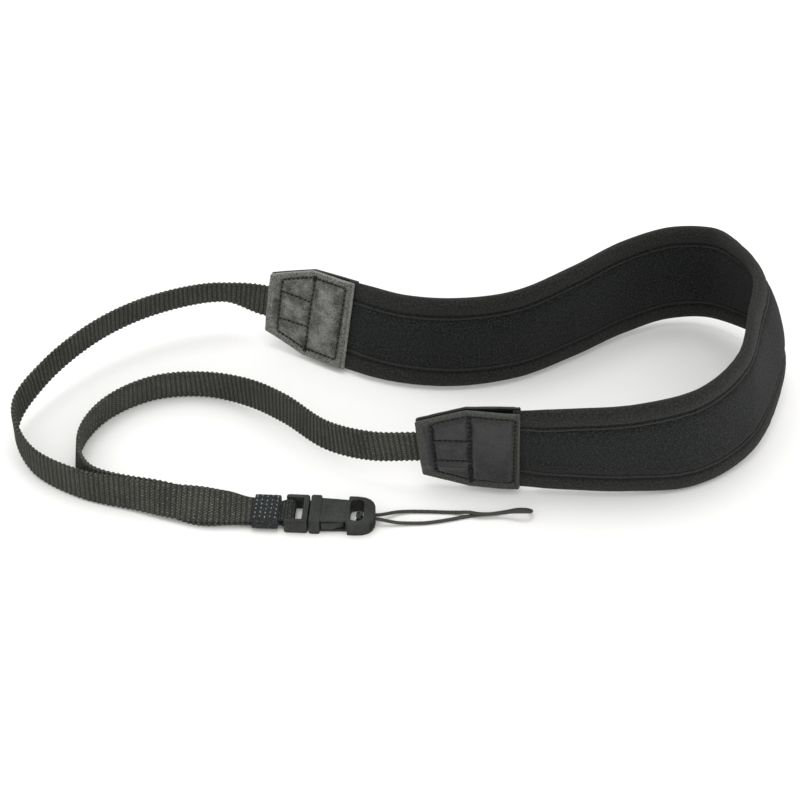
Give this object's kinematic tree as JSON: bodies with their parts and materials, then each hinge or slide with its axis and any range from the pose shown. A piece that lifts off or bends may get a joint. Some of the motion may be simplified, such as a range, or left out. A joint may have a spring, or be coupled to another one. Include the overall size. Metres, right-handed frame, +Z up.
{
  "type": "camera neck strap",
  "caption": "Narrow camera neck strap in a closed loop: padded neoprene band, leatherette end tabs, ribbed webbings, side-release buckle and thin cord loop.",
  "frame": {"origin": "centre of the strap's bounding box without the cord loop, on the surface it lies on", "axes": "+X from the webbing's bend towards the padded bend, +Y from the buckle side towards the back run, +Z up"},
  "size_m": [0.2496, 0.1072, 0.0435],
  "materials": {
    "webbing": "ribbed charcoal nylon webbing with scalloped edges",
    "knit": "fine near-black knit laminated to neoprene",
    "binding": "smooth brown-black stretch binding, stitched near its inner edge",
    "leatherette": "wrinkled grey-black leatherette with tonal lockstitch",
    "stitched_cloth": "dark cloth covered with dense bar-tack stitching",
    "plastic": "moulded satin grey-black acetal",
    "cord": "braided charcoal cord"
  },
  "bodies": {
    "root": {"webbing_back": "webbing", "webbing_front": "webbing", "pad_core": "knit", "pad_binding_top": "binding", "pad_binding_bottom": "binding", "tab_back_inner_leaf": "leatherette", "tab_back_outer_leaf": "leatherette", "tab_front_inner_leaf": "leatherette", "tab_front_outer_leaf": "leatherette", "sleeve": "stitched_cloth", "buckle_loop": "stitched_cloth", "buckle_clip": "plastic", "buckle_socket": "plastic", "cord_loop": "cord", "cord_knot": "cord"}
  },
  "joints": []
}
